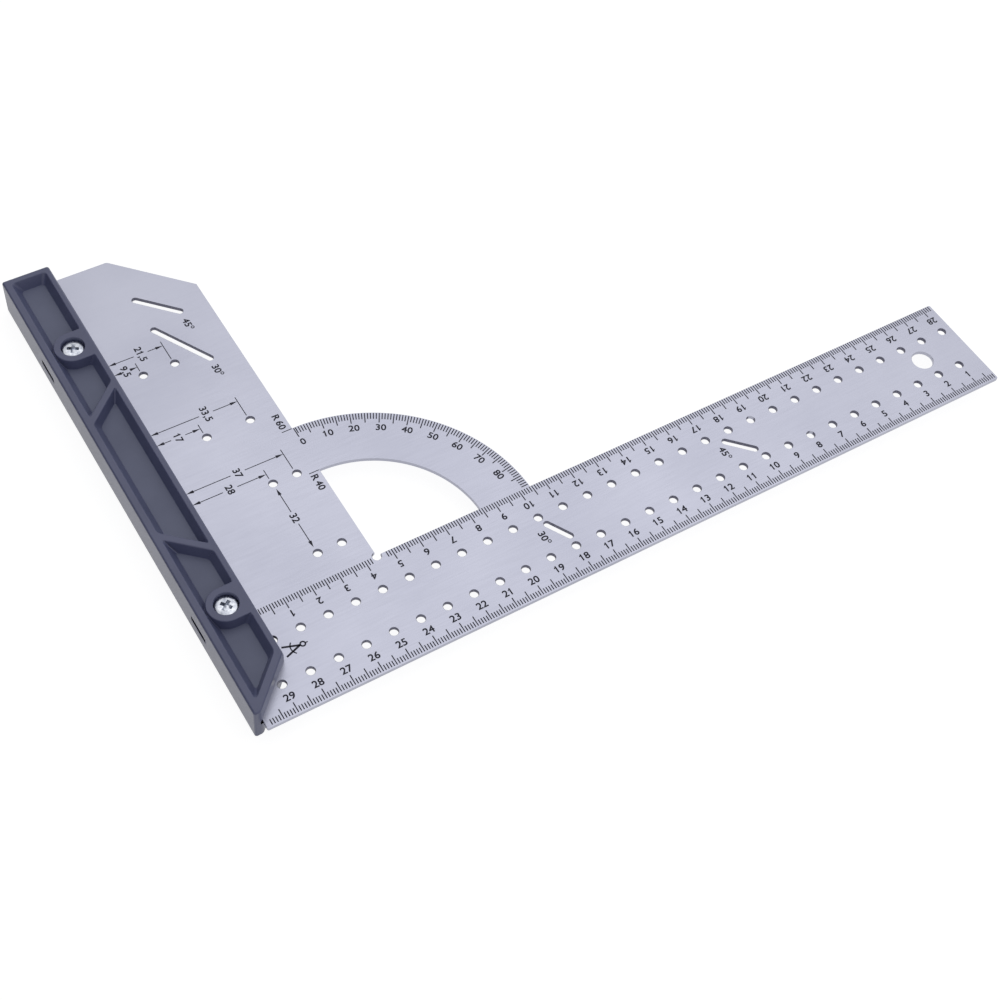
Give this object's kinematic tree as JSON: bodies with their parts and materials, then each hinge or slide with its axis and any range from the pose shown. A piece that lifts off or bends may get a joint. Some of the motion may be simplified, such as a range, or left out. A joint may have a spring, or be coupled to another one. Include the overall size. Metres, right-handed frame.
{
  "type": "angle square",
  "caption": "Carpenter's angle square: perforated steel ruler and leg with a protractor arc, clamped in a two-part moulded stop by screws.",
  "frame": {"origin": "under the middle of the whole square's bounding box, at the level of the stop's lower face", "axes": "+X along the ruler from the stop to the far end, +Y up the leg along the stop, +Z square to the blade towards the scale side"},
  "size_m": [0.3028, 0.202, 0.0149],
  "materials": {
    "steel_blade": "fine brushed stainless sheet with dark printed scales",
    "stop_upper_half": "slate grey moulded plastic, finely textured",
    "stop_lower_half": "slate grey moulded plastic, finely textured",
    "stop_screw_heel": "bright zinc plated",
    "stop_screw_top": "bright zinc plated"
  },
  "bodies": {
    "root": {"steel_blade": "steel_blade", "stop_upper_half": "stop_upper_half", "stop_lower_half": "stop_lower_half", "stop_screw_heel": "stop_screw_heel", "stop_screw_top": "stop_screw_top"}
  },
  "joints": []
}
